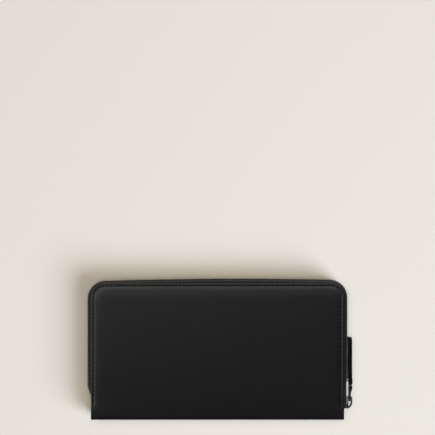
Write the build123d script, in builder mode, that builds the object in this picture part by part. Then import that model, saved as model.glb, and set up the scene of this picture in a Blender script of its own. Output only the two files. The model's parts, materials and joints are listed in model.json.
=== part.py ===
"""Zip-around long wallet, closed and lying flat on its back cover. Millimetres.

X runs along the wallet, Y from the spine (-Y) to the zip mouth (+Y), and Z up through its
thickness. The origin is in the middle of the flat face that it lies on. The front half is the
back half mirrored in the middle plane, so each back piece below also makes its front twin.
"""
from build123d import *
import os

os.makedirs("parts", exist_ok=True)

# ---------------------------------------------------------------- overall size
HALF_WIDTH = 94.0        # cover leather, centre to side edge
SPINE_Y = -52.5          # outside of the spine
MOUTH_Y = 50.1           # cover edge along the top
THICKNESS = 24.0         # outside to outside of the covers
MID_Z = THICKNESS / 2
COVER_CORNER = 10.0      # radius of the two top corners
FOLD_RADIUS = 3.0        # outside of the fold from cover to spine

# ---------------------------------------------------------------- sheet thicknesses
LEATHER = 1.0
BOARD = 0.6
LINING = 0.4
TAPE = 0.6               # main zip tape, as thick as the board beside it
PANEL = 0.6
STRIP = 0.5              # one tier of card pocket leather
POCKET_WALL = 0.8
GAP = 0.05               # room between faces that move on each other

# ---------------------------------------------------------------- main zip
ZIP_OUT = 1.9            # zip centre line, outside the cover's side edge
ZIP_OUT_TOP = 1.6        # and outside its top edge
ZIP_CORNER = 12.0
ZIP_END_Y = -44.0        # where both tapes stop, above the spine
ZIP_START = 7.0          # from the tape's end to the first tooth, on the open side
ZIP_STOP = 4.8           # from the last tooth to the tape's end, on the closed side
PITCH = 2.3
TOOTH = 0.95             # length of a tooth along the chain
TOOTH_HALF = 1.1         # half its thickness
TOOTH_ROOT = 9.5         # height of the back teeth's legs
TOOTH_TIP = 12.9         # height that they reach, past the middle plane
TAPE_EDGE = 10.6         # height of the back tape's edge, inside the legs
FLANGE = 7.4             # sewn width of the tape, inwards from the chain
TAPE_BEND = 3.2

# ---------------------------------------------------------------- stitching
STITCH_INSET = 2.4       # from the cover's edge
STITCH_PITCH = 3.0
STITCH_LENGTH = 2.2
STITCH_WIDTH = 0.6
STITCH_TURN = 8.0        # degrees that each stitch lies across its line
GROOVE = 1.1             # width of the channel that the stitches lie in
GROOVE_DEPTH = 0.35
STITCH_END_Y = -35.6     # last stitch above the spine

# ---------------------------------------------------------------- card pockets
PANEL_HALF = 87.0
PANEL_BOTTOM = -47.5
PANEL_TOP = 41.0
STRIP_HALF = 86.0
STRIP_TOPS = [36.0, 25.0, 14.0, 3.0]
PANEL_Z = LEATHER + BOARD + LINING
STRIPS_Z = PANEL_Z + PANEL

# ---------------------------------------------------------------- coin pocket
POCKET_HALF = 88.0
POCKET_BOTTOM = -51.1 + POCKET_WALL
POCKET_TOP = 28.0
POCKET_Z = 9.0           # outer face of the back wall
COIN_TAPE = 0.4
COIN_TAPE_BOTTOM = 21.0
COIN_TAPE_TOP = 31.2
COIN_TAPE_ENDS = (-84.0, 80.0)
COIN_PITCH = 1.8
COIN_TOOTH = 0.7
COIN_TEETH = (-78.0, 72.2)
COIN_TOOTH_BOTTOM = 29.6
COIN_TOOTH_TIP = 12.4

# ---------------------------------------------------------------- gussets
GUSSET_X = 87.0          # where they are sewn to the panels' sides
GUSSET_DEPTH = 24.0      # how far they fold in at the mouth
GUSSET_LOW = -46.0
GUSSET_TOP = 27.0
GUSSET_SHEET = 0.4

# ---------------------------------------------------------------- slider and pull
SLIDER_TAIL_Y = -24.0
SLIDER_MOUTH_Y = -44.4
SLIDER_LIP_END_Y = -41.0    # the lips leave the mouth open for the stops
SLIDER_PLATE = 0.9
SLIDER_TAIL_HALF = 3.55
SLIDER_MOUTH_HALF = 4.5
CHANNEL_TAIL_HALF = 2.7
CHANNEL_MOUTH_HALF = 3.5
BRIDGE_Y = -39.2
BRIDGE_REACH = 3.4       # how far the bridge stands off the plate
BRIDGE_HALF_LENGTH = 5.2
BRIDGE_BAR = 1.1
BRIDGE_WIDTH = 2.5
LINK_PIVOT = (98.95, -38.2)
LINK_BAR = 0.7           # radius of the bar through the bridge
LINK_HALF = 3.8          # half the link's width
LINK_ARM = 1.2           # thickness of each of its side arms
TAB_PIVOT = (99.6, -28.3)
TAB_BAR = 0.45           # radius of the bar that carries the leather tab
TAB_EYE = 1.4            # outside radius of the leather round that bar
TAB_THICKNESS = 2.4
TAB_HALF = 4.5           # half the tab's width
TAB_TONGUE_HALF = 2.5
TAB_FROM_Y = -26.3
TAB_TOP_Y = 9.0

zip_half_width = HALF_WIDTH + ZIP_OUT
zip_top_y = MOUTH_Y + ZIP_OUT_TOP
strips_top_z = STRIPS_Z + STRIP * len(STRIP_TOPS)
pocket_inner_z = POCKET_Z + POCKET_WALL
MIDDLE = Plane.XY.offset(MID_Z)

# Centre line of the main zip, from its open end on the left to its closed end on the right.
zip_line = FilletPolyline(
    (-zip_half_width, ZIP_END_Y),
    (-zip_half_width, zip_top_y),
    (zip_half_width, zip_top_y),
    (zip_half_width, ZIP_END_Y),
    radius=ZIP_CORNER,
)


def save(piece, node):
    """Label a finished piece and write it as its own STEP file."""
    piece.part.label = node
    export_step(piece.part, f"parts/{node}.step")


def save_both_sides(piece, node):
    """Write a piece of the back half, and its twin mirrored into the front half."""
    save(piece, f"back_{node}")
    with BuildPart() as twin:
        mirror(piece.part, about=MIDDLE)
    save(twin, f"front_{node}")


def cover_outline(side_inset, top_inset, bottom_y):
    """Closed face as wide as the covers less an inset, with its two top corners rounded."""
    half = HALF_WIDTH - side_inset
    top = MOUTH_Y - top_inset
    with BuildSketch(mode=Mode.PRIVATE) as outline:
        with BuildLine():
            Polyline((-half, bottom_y), (-half, top), (half, top), (half, bottom_y), close=True)
        make_face()
        fillet(outline.vertices().group_by(Axis.Y)[-1], COVER_CORNER - side_inset)
    return outline.sketch


def line_planes(line, first, spacing, count):
    """Planes square to a line at even distances, each with its X axis up."""
    planes = []
    for number in range(count):
        distance = first + number * spacing
        place = line.position_at(distance, position_mode=PositionMode.LENGTH)
        along = line.tangent_at(distance, position_mode=PositionMode.LENGTH)
        planes.append(Plane(origin=place, x_dir=(0, 0, 1), z_dir=along))
    return planes


# ---------------------------------------------------------------- covers
stitch_half = HALF_WIDTH - STITCH_INSET
stitch_line = FilletPolyline(
    (-stitch_half, STITCH_END_Y),
    (-stitch_half, MOUTH_Y - STITCH_INSET),
    (stitch_half, MOUTH_Y - STITCH_INSET),
    (stitch_half, STITCH_END_Y),
    radius=COVER_CORNER - STITCH_INSET,
)
fold_y = SPINE_Y + FOLD_RADIUS

# Cover leather: the flat cover, and the fold up into the spine as far as the living hinge.
with BuildPart() as cover_leather:
    with BuildSketch():
        add(cover_outline(0, 0, fold_y))
    extrude(amount=LEATHER)
    with BuildSketch(Plane.YZ):
        with BuildLine():
            CenterArc((fold_y, FOLD_RADIUS), FOLD_RADIUS, 180, 90)
            CenterArc((fold_y, FOLD_RADIUS), FOLD_RADIUS - LEATHER, 180, 90)
            Line((SPINE_Y, FOLD_RADIUS), (SPINE_Y + LEATHER, FOLD_RADIUS))
            Line((fold_y, 0), (fold_y, LEATHER))
        make_face()
    extrude(amount=HALF_WIDTH, both=True)
    with BuildSketch():
        trace(stitch_line, line_width=GROOVE)
    extrude(amount=GROOVE_DEPTH, mode=Mode.SUBTRACT)
save_both_sides(cover_leather, "cover_leather")

# One row of stitches round three sides of the cover, sunk into the channel in the leather.
stitch_count = int((stitch_line.length - STITCH_LENGTH) / STITCH_PITCH) + 1
with BuildPart() as cover_stitching:
    for plane in line_planes(stitch_line, STITCH_LENGTH / 2, STITCH_PITCH, stitch_count):
        lay = Plane(origin=plane.origin, x_dir=plane.z_dir, z_dir=(0, 0, 1))
        with BuildSketch(lay.offset(GAP)):
            SlotOverall(STITCH_LENGTH, STITCH_WIDTH, rotation=STITCH_TURN)
    extrude(amount=GROOVE_DEPTH - 2 * GAP)
save_both_sides(cover_stitching, "cover_stitching")

# Board inside the tape's sewn edge, and the lining over both.
with BuildPart() as cover_board:
    with BuildSketch(Plane.XY.offset(LEATHER)):
        add(cover_outline(FLANGE - ZIP_OUT + 0.1, FLANGE - ZIP_OUT_TOP + 0.1, PANEL_BOTTOM))
    extrude(amount=BOARD)
save_both_sides(cover_board, "cover_board")

with BuildPart() as cover_lining:
    with BuildSketch(Plane.XY.offset(LEATHER + BOARD)):
        add(cover_outline(1.6, 1.9, fold_y))
    extrude(amount=LINING)
save_both_sides(cover_lining, "cover_lining")

# ---------------------------------------------------------------- card pockets
with BuildPart() as card_panel:
    with BuildSketch(Plane.XY.offset(PANEL_Z)):
        with Locations((0, (PANEL_TOP + PANEL_BOTTOM) / 2)):
            RectangleRounded(2 * PANEL_HALF, PANEL_TOP - PANEL_BOTTOM, 2)
    extrude(amount=PANEL)
save_both_sides(card_panel, "card_panel")

# Four tiers, each one lower than the tier behind it.
for tier, tier_top in enumerate(STRIP_TOPS):
    with BuildPart() as card_strip:
        with BuildSketch(Plane.XY.offset(STRIPS_Z + tier * STRIP)):
            with Locations((0, (tier_top + PANEL_BOTTOM) / 2)):
                Rectangle(2 * STRIP_HALF, tier_top - PANEL_BOTTOM)
        extrude(amount=STRIP)
    save_both_sides(card_strip, f"card_pocket_{tier + 1}")

# ---------------------------------------------------------------- main zip
# Tape: sewn flat inside the cover's edge, then bent up into the wall between the covers.
tape_plane = Plane(origin=zip_line @ 0, x_dir=(-1, 0, 0), z_dir=(0, 1, 0))
tape_z = LEATHER + TAPE / 2
with BuildPart() as zip_tape:
    with BuildSketch(tape_plane):
        with BuildLine():
            FilletPolyline((-FLANGE, tape_z), (0, tape_z), (0, TAPE_EDGE), radius=TAPE_BEND)
        trace(line_width=TAPE)
    sweep(path=zip_line)
save_both_sides(zip_tape, "zip_tape")

# Teeth: two legs either side of the tape's edge, and a head that narrows to its tip.
leg = TAPE / 2 + GAP
root = TOOTH_HALF - 0.1
head = TOOTH_HALF - 0.5
tooth_profile = [
    (TOOTH_ROOT, root),
    (TOOTH_ROOT + 0.4, TOOTH_HALF),
    (TOOTH_TIP - 1.5, TOOTH_HALF),
    (TOOTH_TIP, head),
    (TOOTH_TIP, -head),
    (TOOTH_TIP - 1.5, -TOOTH_HALF),
    (TOOTH_ROOT + 0.4, -TOOTH_HALF),
    (TOOTH_ROOT, -root),
    (TOOTH_ROOT, -leg),
    (TAPE_EDGE + GAP, -leg),
    (TAPE_EDGE + GAP, leg),
    (TOOTH_ROOT, leg),
]
tooth_count = int((zip_line.length - ZIP_START - ZIP_STOP) / PITCH)


def tooth_row(first):
    """A row of back teeth, from a distance along the zip line."""
    with BuildPart() as row:
        with BuildSketch(*line_planes(zip_line, first, PITCH, tooth_count)):
            with BuildLine():
                Polyline(*tooth_profile, close=True)
            make_face()
        extrude(amount=TOOTH / 2, both=True)
    return row


back_teeth = tooth_row(ZIP_START)
save(back_teeth, "back_zip_teeth")

shifted_teeth = tooth_row(ZIP_START + PITCH / 2)
with BuildPart() as front_teeth:
    mirror(shifted_teeth.part, about=MIDDLE)
save(front_teeth, "front_zip_teeth")

# Stops: a clip on each tape at the closed end, and one block across the open end.
stop_low = TOOTH_ROOT - 0.6
stop_top = TAPE_EDGE + 0.4
with BuildPart() as top_stop:
    with BuildSketch(*line_planes(zip_line, zip_line.length - 1.5, PITCH, 1)):
        with Locations(((stop_low + stop_top) / 2, 0)):
            Rectangle(stop_top - stop_low, 2 * TOOTH_HALF)
        with Locations(((stop_low + TAPE_EDGE + GAP) / 2, 0)):
            Rectangle(TAPE_EDGE + GAP - stop_low, 2 * leg, mode=Mode.SUBTRACT)
    extrude(amount=1.1, both=True)
save_both_sides(top_stop, "zip_top_stop")

with BuildPart() as bottom_stop:
    with BuildSketch(*line_planes(zip_line, ZIP_START - 2.2, PITCH, 1)):
        with Locations((MID_Z, 0)):
            Rectangle(2 * (MID_Z - TAPE_EDGE - GAP), 2 * TOOTH_HALF)
    extrude(amount=1.2, both=True)
    fillet(bottom_stop.edges().filter_by(Axis.Y), 0.3)
save(bottom_stop, "zip_bottom_stop")

# ---------------------------------------------------------------- slider
plate_outer = zip_half_width + TOOTH_HALF + 0.1
plate_inner = zip_half_width - TOOTH_HALF - 0.1
slider_face = plate_outer + SLIDER_PLATE
lip = TOOTH_HALF + 0.1 - TAPE / 2 - 0.15


def slider_plan(tail_half, mouth_half, past_ends):
    """Slider shape on a YZ plane: parallel at its tail, flared to its mouth."""
    tail = SLIDER_TAIL_Y + past_ends
    mouth = SLIDER_MOUTH_Y - past_ends
    shoulder = SLIDER_TAIL_Y - 11.0
    wide = SLIDER_MOUTH_Y + 3.4
    upper = [
        (tail, MID_Z + tail_half),
        (shoulder, MID_Z + tail_half),
        (wide, MID_Z + mouth_half),
        (mouth, MID_Z + mouth_half),
    ]
    lower = [(y, 2 * MID_Z - z) for y, z in reversed(upper)]
    with BuildSketch(mode=Mode.PRIVATE) as plan:
        with BuildLine():
            Polyline(*upper, *lower, close=True)
        make_face()
        if not past_ends:
            fillet(plan.vertices(), 1.0)
    return plan.sketch


with BuildPart() as zip_slider:
    for face, depth in ((plate_inner - SLIDER_PLATE, SLIDER_PLATE), (plate_outer, SLIDER_PLATE)):
        with BuildSketch(Plane.YZ.offset(face)):
            add(slider_plan(SLIDER_TAIL_HALF, SLIDER_MOUTH_HALF, 0))
        extrude(amount=depth)
    for face in (plate_inner, plate_outer - lip):
        with BuildSketch(Plane.YZ.offset(face)):
            add(slider_plan(SLIDER_TAIL_HALF, SLIDER_MOUTH_HALF, 0))
            add(slider_plan(CHANNEL_TAIL_HALF, CHANNEL_MOUTH_HALF, 1), mode=Mode.SUBTRACT)
            with Locations((SLIDER_LIP_END_Y, MID_Z)):
                Rectangle(9, 12, align=(Align.MAX, Align.CENTER), mode=Mode.SUBTRACT)
        extrude(amount=lip)
    with BuildSketch(Plane.YZ.offset(plate_inner)):
        with BuildLine():
            Polyline(
                (SLIDER_MOUTH_Y, MID_Z - 0.8),
                (SLIDER_MOUTH_Y, MID_Z + 0.8),
                (SLIDER_MOUTH_Y + 3.8, MID_Z + 0.1),
                (SLIDER_MOUTH_Y + 3.8, MID_Z - 0.1),
                close=True,
            )
        make_face()
    extrude(amount=plate_outer - plate_inner)
    with BuildSketch(Plane.XY.offset(MID_Z)):
        with Locations((slider_face, BRIDGE_Y)):
            Ellipse(BRIDGE_REACH, BRIDGE_HALF_LENGTH)
            Ellipse(BRIDGE_REACH - BRIDGE_BAR, BRIDGE_HALF_LENGTH - BRIDGE_BAR, mode=Mode.SUBTRACT)
        with Locations((slider_face - BRIDGE_REACH, BRIDGE_Y)):
            Rectangle(2 * BRIDGE_REACH, 4 * BRIDGE_HALF_LENGTH, mode=Mode.SUBTRACT)
    extrude(amount=BRIDGE_WIDTH / 2, both=True)
save(zip_slider, "zip_slider")

# ---------------------------------------------------------------- pull
arm_middle = LINK_HALF - LINK_ARM / 2
with BuildPart() as pull_link:
    with BuildSketch(Plane.XY.offset(MID_Z - LINK_HALF)) as arm:
        with Locations(LINK_PIVOT):
            Circle(LINK_BAR + 0.1)
        with Locations(TAB_PIVOT):
            RectangleRounded(2 * TAB_EYE, 2 * TAB_EYE, 1.0)
        make_hull()
    extrude(amount=LINK_ARM)
    mirror(about=MIDDLE)
    with BuildSketch(Plane.XY.offset(MID_Z)):
        with Locations(LINK_PIVOT):
            Circle(LINK_BAR)
        with Locations(TAB_PIVOT):
            Circle(TAB_BAR)
    extrude(amount=LINK_HALF - LINK_ARM / 2, both=True)
save(pull_link, "pull_link")

# Leather tab: a strip folded round the link's bar, its two layers sewn into one tab.
tab_left = TAB_PIVOT[0] - TAB_EYE + GAP
with BuildPart() as pull_tab:
    with BuildSketch(Plane.XY.offset(MID_Z)):
        with Locations(TAB_PIVOT):
            Circle(TAB_EYE)
        with Locations((tab_left, TAB_PIVOT[1])):
            Rectangle(TAB_THICKNESS, TAB_FROM_Y + 1 - TAB_PIVOT[1], align=(Align.MIN, Align.MIN))
        with Locations(TAB_PIVOT):
            Circle(TAB_BAR + 2 * GAP, mode=Mode.SUBTRACT)
    extrude(amount=TAB_TONGUE_HALF, both=True)
    with BuildSketch(Plane.YZ.offset(tab_left)):
        with Locations(((TAB_FROM_Y + TAB_TOP_Y) / 2, MID_Z)):
            RectangleRounded(TAB_TOP_Y - TAB_FROM_Y, 2 * TAB_HALF, 1.5)
    extrude(amount=TAB_THICKNESS)
save(pull_tab, "pull_tab")

# ---------------------------------------------------------------- spine
spine_bottom = FOLD_RADIUS + GAP
with BuildPart() as spine_leather:
    with BuildSketch(Plane.XZ.offset(-SPINE_Y)):
        with Locations((0, MID_Z)):
            Rectangle(2 * HALF_WIDTH, THICKNESS - 2 * spine_bottom)
    extrude(amount=-LEATHER)
save(spine_leather, "spine_leather")

with BuildPart() as spine_lining:
    with BuildSketch(Plane.XZ.offset(-SPINE_Y - LEATHER)):
        with Locations((0, MID_Z)):
            Rectangle(2 * (HALF_WIDTH - 2), THICKNESS - 2 * spine_bottom - 1)
    extrude(amount=-LINING)
save(spine_lining, "spine_lining")

# ---------------------------------------------------------------- coin pocket
with BuildPart() as pocket_wall:
    with BuildSketch(Plane.XY.offset(POCKET_Z)):
        with Locations((0, (POCKET_TOP + POCKET_BOTTOM) / 2)):
            Rectangle(2 * POCKET_HALF, POCKET_TOP - POCKET_BOTTOM)
    extrude(amount=POCKET_WALL)
save_both_sides(pocket_wall, "coin_pocket_wall")

with BuildPart() as pocket_bottom:
    with BuildSketch(Plane.XZ.offset(-POCKET_BOTTOM + POCKET_WALL)):
        with Locations((0, MID_Z)):
            Rectangle(2 * POCKET_HALF, 2 * (MID_Z - POCKET_Z))
    extrude(amount=-POCKET_WALL)
save(pocket_bottom, "coin_pocket_bottom")

for side_name, side in (("left", -1), ("right", 1)):
    with BuildPart() as pocket_side:
        with BuildSketch(Plane.XY.offset(pocket_inner_z)):
            with Locations((side * (POCKET_HALF - POCKET_WALL / 2), (POCKET_TOP + POCKET_BOTTOM) / 2)):
                Rectangle(POCKET_WALL, POCKET_TOP - POCKET_BOTTOM)
        extrude(amount=2 * (MID_Z - pocket_inner_z))
    save(pocket_side, f"coin_pocket_{side_name}_side")

# Coin zip: a tape inside each wall's top edge, with its teeth on the tape's inner face.
coin_tape_length = COIN_TAPE_ENDS[1] - COIN_TAPE_ENDS[0]
with BuildPart() as coin_tape:
    with BuildSketch(Plane.XY.offset(pocket_inner_z)):
        with Locations((COIN_TAPE_ENDS[0], COIN_TAPE_BOTTOM)):
            Rectangle(
                coin_tape_length,
                COIN_TAPE_TOP - COIN_TAPE_BOTTOM,
                align=(Align.MIN, Align.MIN),
            )
    extrude(amount=COIN_TAPE)
save_both_sides(coin_tape, "coin_zip_tape")

coin_tooth_low = pocket_inner_z + COIN_TAPE + GAP
coin_count = int((COIN_TEETH[1] - COIN_TEETH[0]) / COIN_PITCH)


def coin_row(first_x):
    """A row of back teeth of the coin zip, from a place along X."""
    places = [(first_x + number * COIN_PITCH, COIN_TOOTH_BOTTOM) for number in range(coin_count)]
    with BuildPart() as row:
        with BuildSketch(Plane.XY.offset(coin_tooth_low)):
            with Locations(*places):
                Rectangle(
                    COIN_TOOTH,
                    COIN_TAPE_TOP - COIN_TOOTH_BOTTOM,
                    align=(Align.MIN, Align.MIN),
                )
        extrude(amount=COIN_TOOTH_TIP - coin_tooth_low)
    return row


coin_back_teeth = coin_row(COIN_TEETH[0])
save(coin_back_teeth, "back_coin_zip_teeth")

coin_shifted_teeth = coin_row(COIN_TEETH[0] + COIN_PITCH / 2)
with BuildPart() as coin_front_teeth:
    mirror(coin_shifted_teeth.part, about=MIDDLE)
save(coin_front_teeth, "front_coin_zip_teeth")

coin_zip_y = (COIN_TOOTH_BOTTOM + COIN_TAPE_TOP) / 2
with BuildPart() as coin_stops:
    with BuildSketch(Plane.XY.offset(MID_Z)):
        with Locations((COIN_TAPE_ENDS[0] + 3, coin_zip_y), (COIN_TAPE_ENDS[1] - 2, coin_zip_y)):
            RectangleRounded(2.0, COIN_TAPE_TOP - COIN_TOOTH_BOTTOM, 0.3)
    extrude(amount=MID_Z - coin_tooth_low, both=True)
save(coin_stops, "coin_zip_stops")

# ---------------------------------------------------------------- coin slider and pull
COIN_SLIDER_X = 70.0
COIN_SLIDER_HALF = 4.6
COIN_SLIDER_WIDE = 2.8   # half its width
COIN_PLATE = 0.8
COIN_BRIDGE = (2.6, 2.2)
COIN_BRIDGE_BAR = 0.8
coin_face = COIN_TAPE_TOP + 0.2
coin_top = coin_face + COIN_PLATE
with BuildPart() as coin_slider:
    with BuildSketch(Plane.XZ.offset(-coin_top)):
        with Locations((COIN_SLIDER_X, MID_Z)):
            RectangleRounded(2 * COIN_SLIDER_HALF, 2 * COIN_SLIDER_WIDE, 1.0)
    extrude(amount=COIN_PLATE)
    with BuildSketch(Plane.XZ.offset(-coin_face)):
        with Locations(
            (COIN_SLIDER_X, MID_Z - COIN_SLIDER_WIDE + 0.2),
            (COIN_SLIDER_X, MID_Z + COIN_SLIDER_WIDE - 0.2),
        ):
            Rectangle(2 * COIN_SLIDER_HALF - 2, 0.4)
    extrude(amount=1.2)
    with BuildSketch(Plane.XZ.offset(-COIN_TOOTH_BOTTOM + 0.2)):
        with Locations((COIN_SLIDER_X, MID_Z)):
            RectangleRounded(2 * COIN_SLIDER_HALF, 3.0, 0.8)
    extrude(amount=COIN_PLATE)
    with BuildSketch(Plane.XZ.offset(-coin_face)):
        with Locations((COIN_SLIDER_X + COIN_SLIDER_HALF - 0.6, MID_Z)):
            Rectangle(1.2, 0.8)
    extrude(amount=coin_face - COIN_TOOTH_BOTTOM + 0.2)
    with BuildSketch(MIDDLE):
        with Locations((COIN_SLIDER_X, coin_top)):
            Ellipse(*COIN_BRIDGE)
            Ellipse(
                COIN_BRIDGE[0] - COIN_BRIDGE_BAR,
                COIN_BRIDGE[1] - COIN_BRIDGE_BAR,
                mode=Mode.SUBTRACT,
            )
        with Locations((COIN_SLIDER_X, coin_top - 5)):
            Rectangle(10, 10, mode=Mode.SUBTRACT)
    extrude(amount=0.9, both=True)
save(coin_slider, "coin_zip_slider")

coin_pivot_y = coin_top + 0.7
COIN_PULL_LENGTH = 13.0
COIN_PULL_BAR = 0.5
COIN_PULL_HALF = 2.2
with BuildPart() as coin_pull:
    with BuildSketch(MIDDLE):
        with Locations((COIN_SLIDER_X, coin_pivot_y)):
            Circle(COIN_PULL_BAR)
    extrude(amount=COIN_PULL_HALF, both=True)
    with BuildSketch(MIDDLE.offset(COIN_PULL_HALF - 0.8)):
        with Locations((COIN_SLIDER_X, coin_pivot_y)):
            Circle(COIN_PULL_BAR + 0.05)
        with Locations((COIN_SLIDER_X - 3.6, coin_pivot_y)):
            Rectangle(1.0, 2 * COIN_PULL_BAR)
        make_hull()
    extrude(amount=0.8)
    mirror(about=MIDDLE)
    with BuildSketch(Plane.XZ.offset(-coin_pivot_y)):
        with Locations((COIN_SLIDER_X - (COIN_PULL_LENGTH + 3.1) / 2, MID_Z)):
            RectangleRounded(COIN_PULL_LENGTH - 3.1, 2 * COIN_PULL_HALF, 1.2)
    extrude(amount=COIN_PULL_BAR, both=True)
save(coin_pull, "coin_zip_pull")

# ---------------------------------------------------------------- gussets
# Each is a triangle of cloth folded in between a card panel and the coin pocket: two leaves
# that meet at a slanting inner fold, open towards the wallet's side and its mouth.
gusset_low_z = strips_top_z + GAP
gusset_top_z = POCKET_Z - GAP
fold_slope = GUSSET_DEPTH / (GUSSET_TOP - GUSSET_LOW)
inner_shift = GUSSET_SHEET * (1 + fold_slope**2) ** 0.5


def fold_x(y, shift):
    """Place of the gusset's inner fold at a height y, moved outwards by a shift."""
    return GUSSET_X - (y - GUSSET_LOW) * fold_slope + shift


with BuildPart() as right_gusset:
    with BuildSketch(Plane.XY.offset(gusset_low_z)):
        with BuildLine():
            Polyline(
                (GUSSET_X, GUSSET_LOW),
                (GUSSET_X, GUSSET_TOP),
                (fold_x(GUSSET_TOP, 0), GUSSET_TOP),
                close=True,
            )
        make_face()
    extrude(amount=gusset_top_z - gusset_low_z)
    with BuildSketch(Plane.XY.offset(gusset_low_z + GUSSET_SHEET)):
        with BuildLine():
            Polyline(
                (fold_x(GUSSET_LOW, inner_shift), GUSSET_LOW),
                (GUSSET_X + 1, GUSSET_LOW),
                (GUSSET_X + 1, GUSSET_TOP + 1),
                (fold_x(GUSSET_TOP + 1, inner_shift), GUSSET_TOP + 1),
                close=True,
            )
        make_face()
    extrude(amount=gusset_top_z - gusset_low_z - 2 * GUSSET_SHEET, mode=Mode.SUBTRACT)
save_both_sides(right_gusset, "right_gusset")

with BuildPart() as left_gusset:
    mirror(right_gusset.part, about=Plane.YZ)
save_both_sides(left_gusset, "left_gusset")
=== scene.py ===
"""Looks of the zip-around long wallet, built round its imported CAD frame.

The row frame: X along the wallet, Y from the spine (-Y) to the zip mouth (+Y), +Z up.
Shapes are worked out in millimetres, and new_piece() turns them into metres.
"""
import json
import math

import bmesh
import bpy
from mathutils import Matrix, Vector, noise


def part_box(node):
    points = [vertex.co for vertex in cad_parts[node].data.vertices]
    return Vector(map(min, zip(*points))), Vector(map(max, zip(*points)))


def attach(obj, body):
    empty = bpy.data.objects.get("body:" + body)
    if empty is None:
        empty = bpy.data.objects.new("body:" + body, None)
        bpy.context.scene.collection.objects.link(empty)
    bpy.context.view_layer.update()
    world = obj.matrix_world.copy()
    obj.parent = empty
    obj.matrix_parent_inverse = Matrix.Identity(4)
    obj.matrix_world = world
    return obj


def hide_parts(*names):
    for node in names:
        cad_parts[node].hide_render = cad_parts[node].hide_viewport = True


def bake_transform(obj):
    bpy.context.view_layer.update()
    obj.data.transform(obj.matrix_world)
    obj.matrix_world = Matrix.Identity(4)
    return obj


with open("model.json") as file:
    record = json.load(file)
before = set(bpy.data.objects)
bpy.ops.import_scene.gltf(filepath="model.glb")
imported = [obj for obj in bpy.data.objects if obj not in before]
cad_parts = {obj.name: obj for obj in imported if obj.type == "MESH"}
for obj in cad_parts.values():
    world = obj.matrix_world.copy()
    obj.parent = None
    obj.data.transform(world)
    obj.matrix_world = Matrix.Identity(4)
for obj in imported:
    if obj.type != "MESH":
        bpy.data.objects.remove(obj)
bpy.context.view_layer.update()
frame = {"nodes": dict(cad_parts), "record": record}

MM = 0.001


def box_mm(node):
    """Lowest and highest corner of a CAD node, in millimetres."""
    low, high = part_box(node)
    return low / MM, high / MM


# ---------------------------------------------------------------- sizes from the frame
cover_low, cover_high = box_mm("front_cover_leather")
teeth_high = box_mm("front_zip_teeth")[1]
HALF = cover_high.x
SPINE = cover_low.y
MOUTH = cover_high.y
TOP = cover_high.z
MID = TOP / 2
TOOTH_HALF = 1.1
ZIP_HALF = teeth_high.x - TOOTH_HALF
ZIP_TOP = teeth_high.y - TOOTH_HALF
ZIP_FOOT = box_mm("front_zip_tape")[0].y

COVER_CORNER = 10.0
ZIP_CORNER = 12.0
ZIP_PITCH = 2.3
SKIN = 0.7                  # thickness of the cover leather
SKIN_GRID = 1.0             # size of its mesh's squares
EDGE_ROUNDING = 0.32        # how far its cut edge is rounded off
SEWN_DOWN = 0.42            # how much lower it is at its stitches than in the middle
FOLD_RADIUS = 2.4           # its bend between a cover and the spine
SPINE_OUT = SPINE + 0.75    # outside of the spine, beside its bends
STITCH_INSET = 2.4          # from the cover's edge to the stitches
RIGHT_STITCHES_OUT = 0.55   # how much nearer they are to its right edge
STITCH_PITCH = 3.0
STITCH_FOOT = -35.6         # where the row of stitches ends, beside the spine
STITCH_START = 1.1          # from there to the middle of the first stitch

# ---------------------------------------------------------------- small helpers


def smooth(low, high, value):
    """0 below low, 1 above high, and a smooth step between them."""
    share = min(1.0, max(0.0, (value - low) / (high - low)))
    return share * share * (3 - 2 * share)


def spaced(low, high, step):
    """Evenly spaced values from low to high, about a step apart."""
    count = max(1, round(abs(high - low) / step))
    return [low + (high - low) * number / count for number in range(count + 1)]


def arc(centre, radius, start, end, steps):
    """Points on an arc from one angle to another, in degrees."""
    angles = [math.radians(start + (end - start) * k / steps) for k in range(steps + 1)]
    return [(centre[0] + radius * math.cos(a), centre[1] + radius * math.sin(a)) for a in angles]


def wobble(x, y, size, seed):
    """Smooth noise of about -1 to 1, the same on every run."""
    return noise.noise(Vector((x / size, y / size, seed)))


def new_piece(name, points, faces, weld=0.0):
    """Mesh object from points in millimetres."""
    mesh = bpy.data.meshes.new(name)
    mesh.from_pydata([Vector(p) * MM for p in points], [], faces)
    made = bpy.data.objects.new(name, mesh)
    bpy.context.scene.collection.objects.link(made)
    shape = bmesh.new()
    shape.from_mesh(mesh)
    if weld:
        bmesh.ops.remove_doubles(shape, verts=shape.verts, dist=weld * MM)
    bmesh.ops.recalc_face_normals(shape, faces=shape.faces)
    shape.to_mesh(mesh)
    shape.free()
    mesh.shade_smooth()
    return made


def thicken(piece, thickness, offset=-1.0):
    """Give an open sheet its thickness, in millimetres."""
    solid = piece.modifiers.new("thickness", "SOLIDIFY")
    solid.thickness = thickness * MM
    solid.offset = offset
    solid.use_even_offset = True
    shown = piece.evaluated_get(bpy.context.evaluated_depsgraph_get())
    mesh = bpy.data.meshes.new_from_object(shown)
    piece.modifiers.clear()
    piece.data = mesh


def sharpen(piece, degrees):
    """Smooth shading, but for edges sharper than an angle."""
    piece.data.shade_smooth()
    piece.data.set_sharp_from_angle(angle=math.radians(degrees))


def mirrored(points):
    """The same points in the wallet's other half."""
    return [(x, y, TOP - z) for x, y, z in points]


def dress(piece, body, material, slot, *nodes):
    """Material, body and the CAD nodes that the piece stands for; its record slot argument is not used."""
    piece.data.materials.clear()
    piece.data.materials.append(material)
    if body:
        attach(piece, body)
    if nodes:
        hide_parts(*nodes)


# ---------------------------------------------------------------- materials


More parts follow.
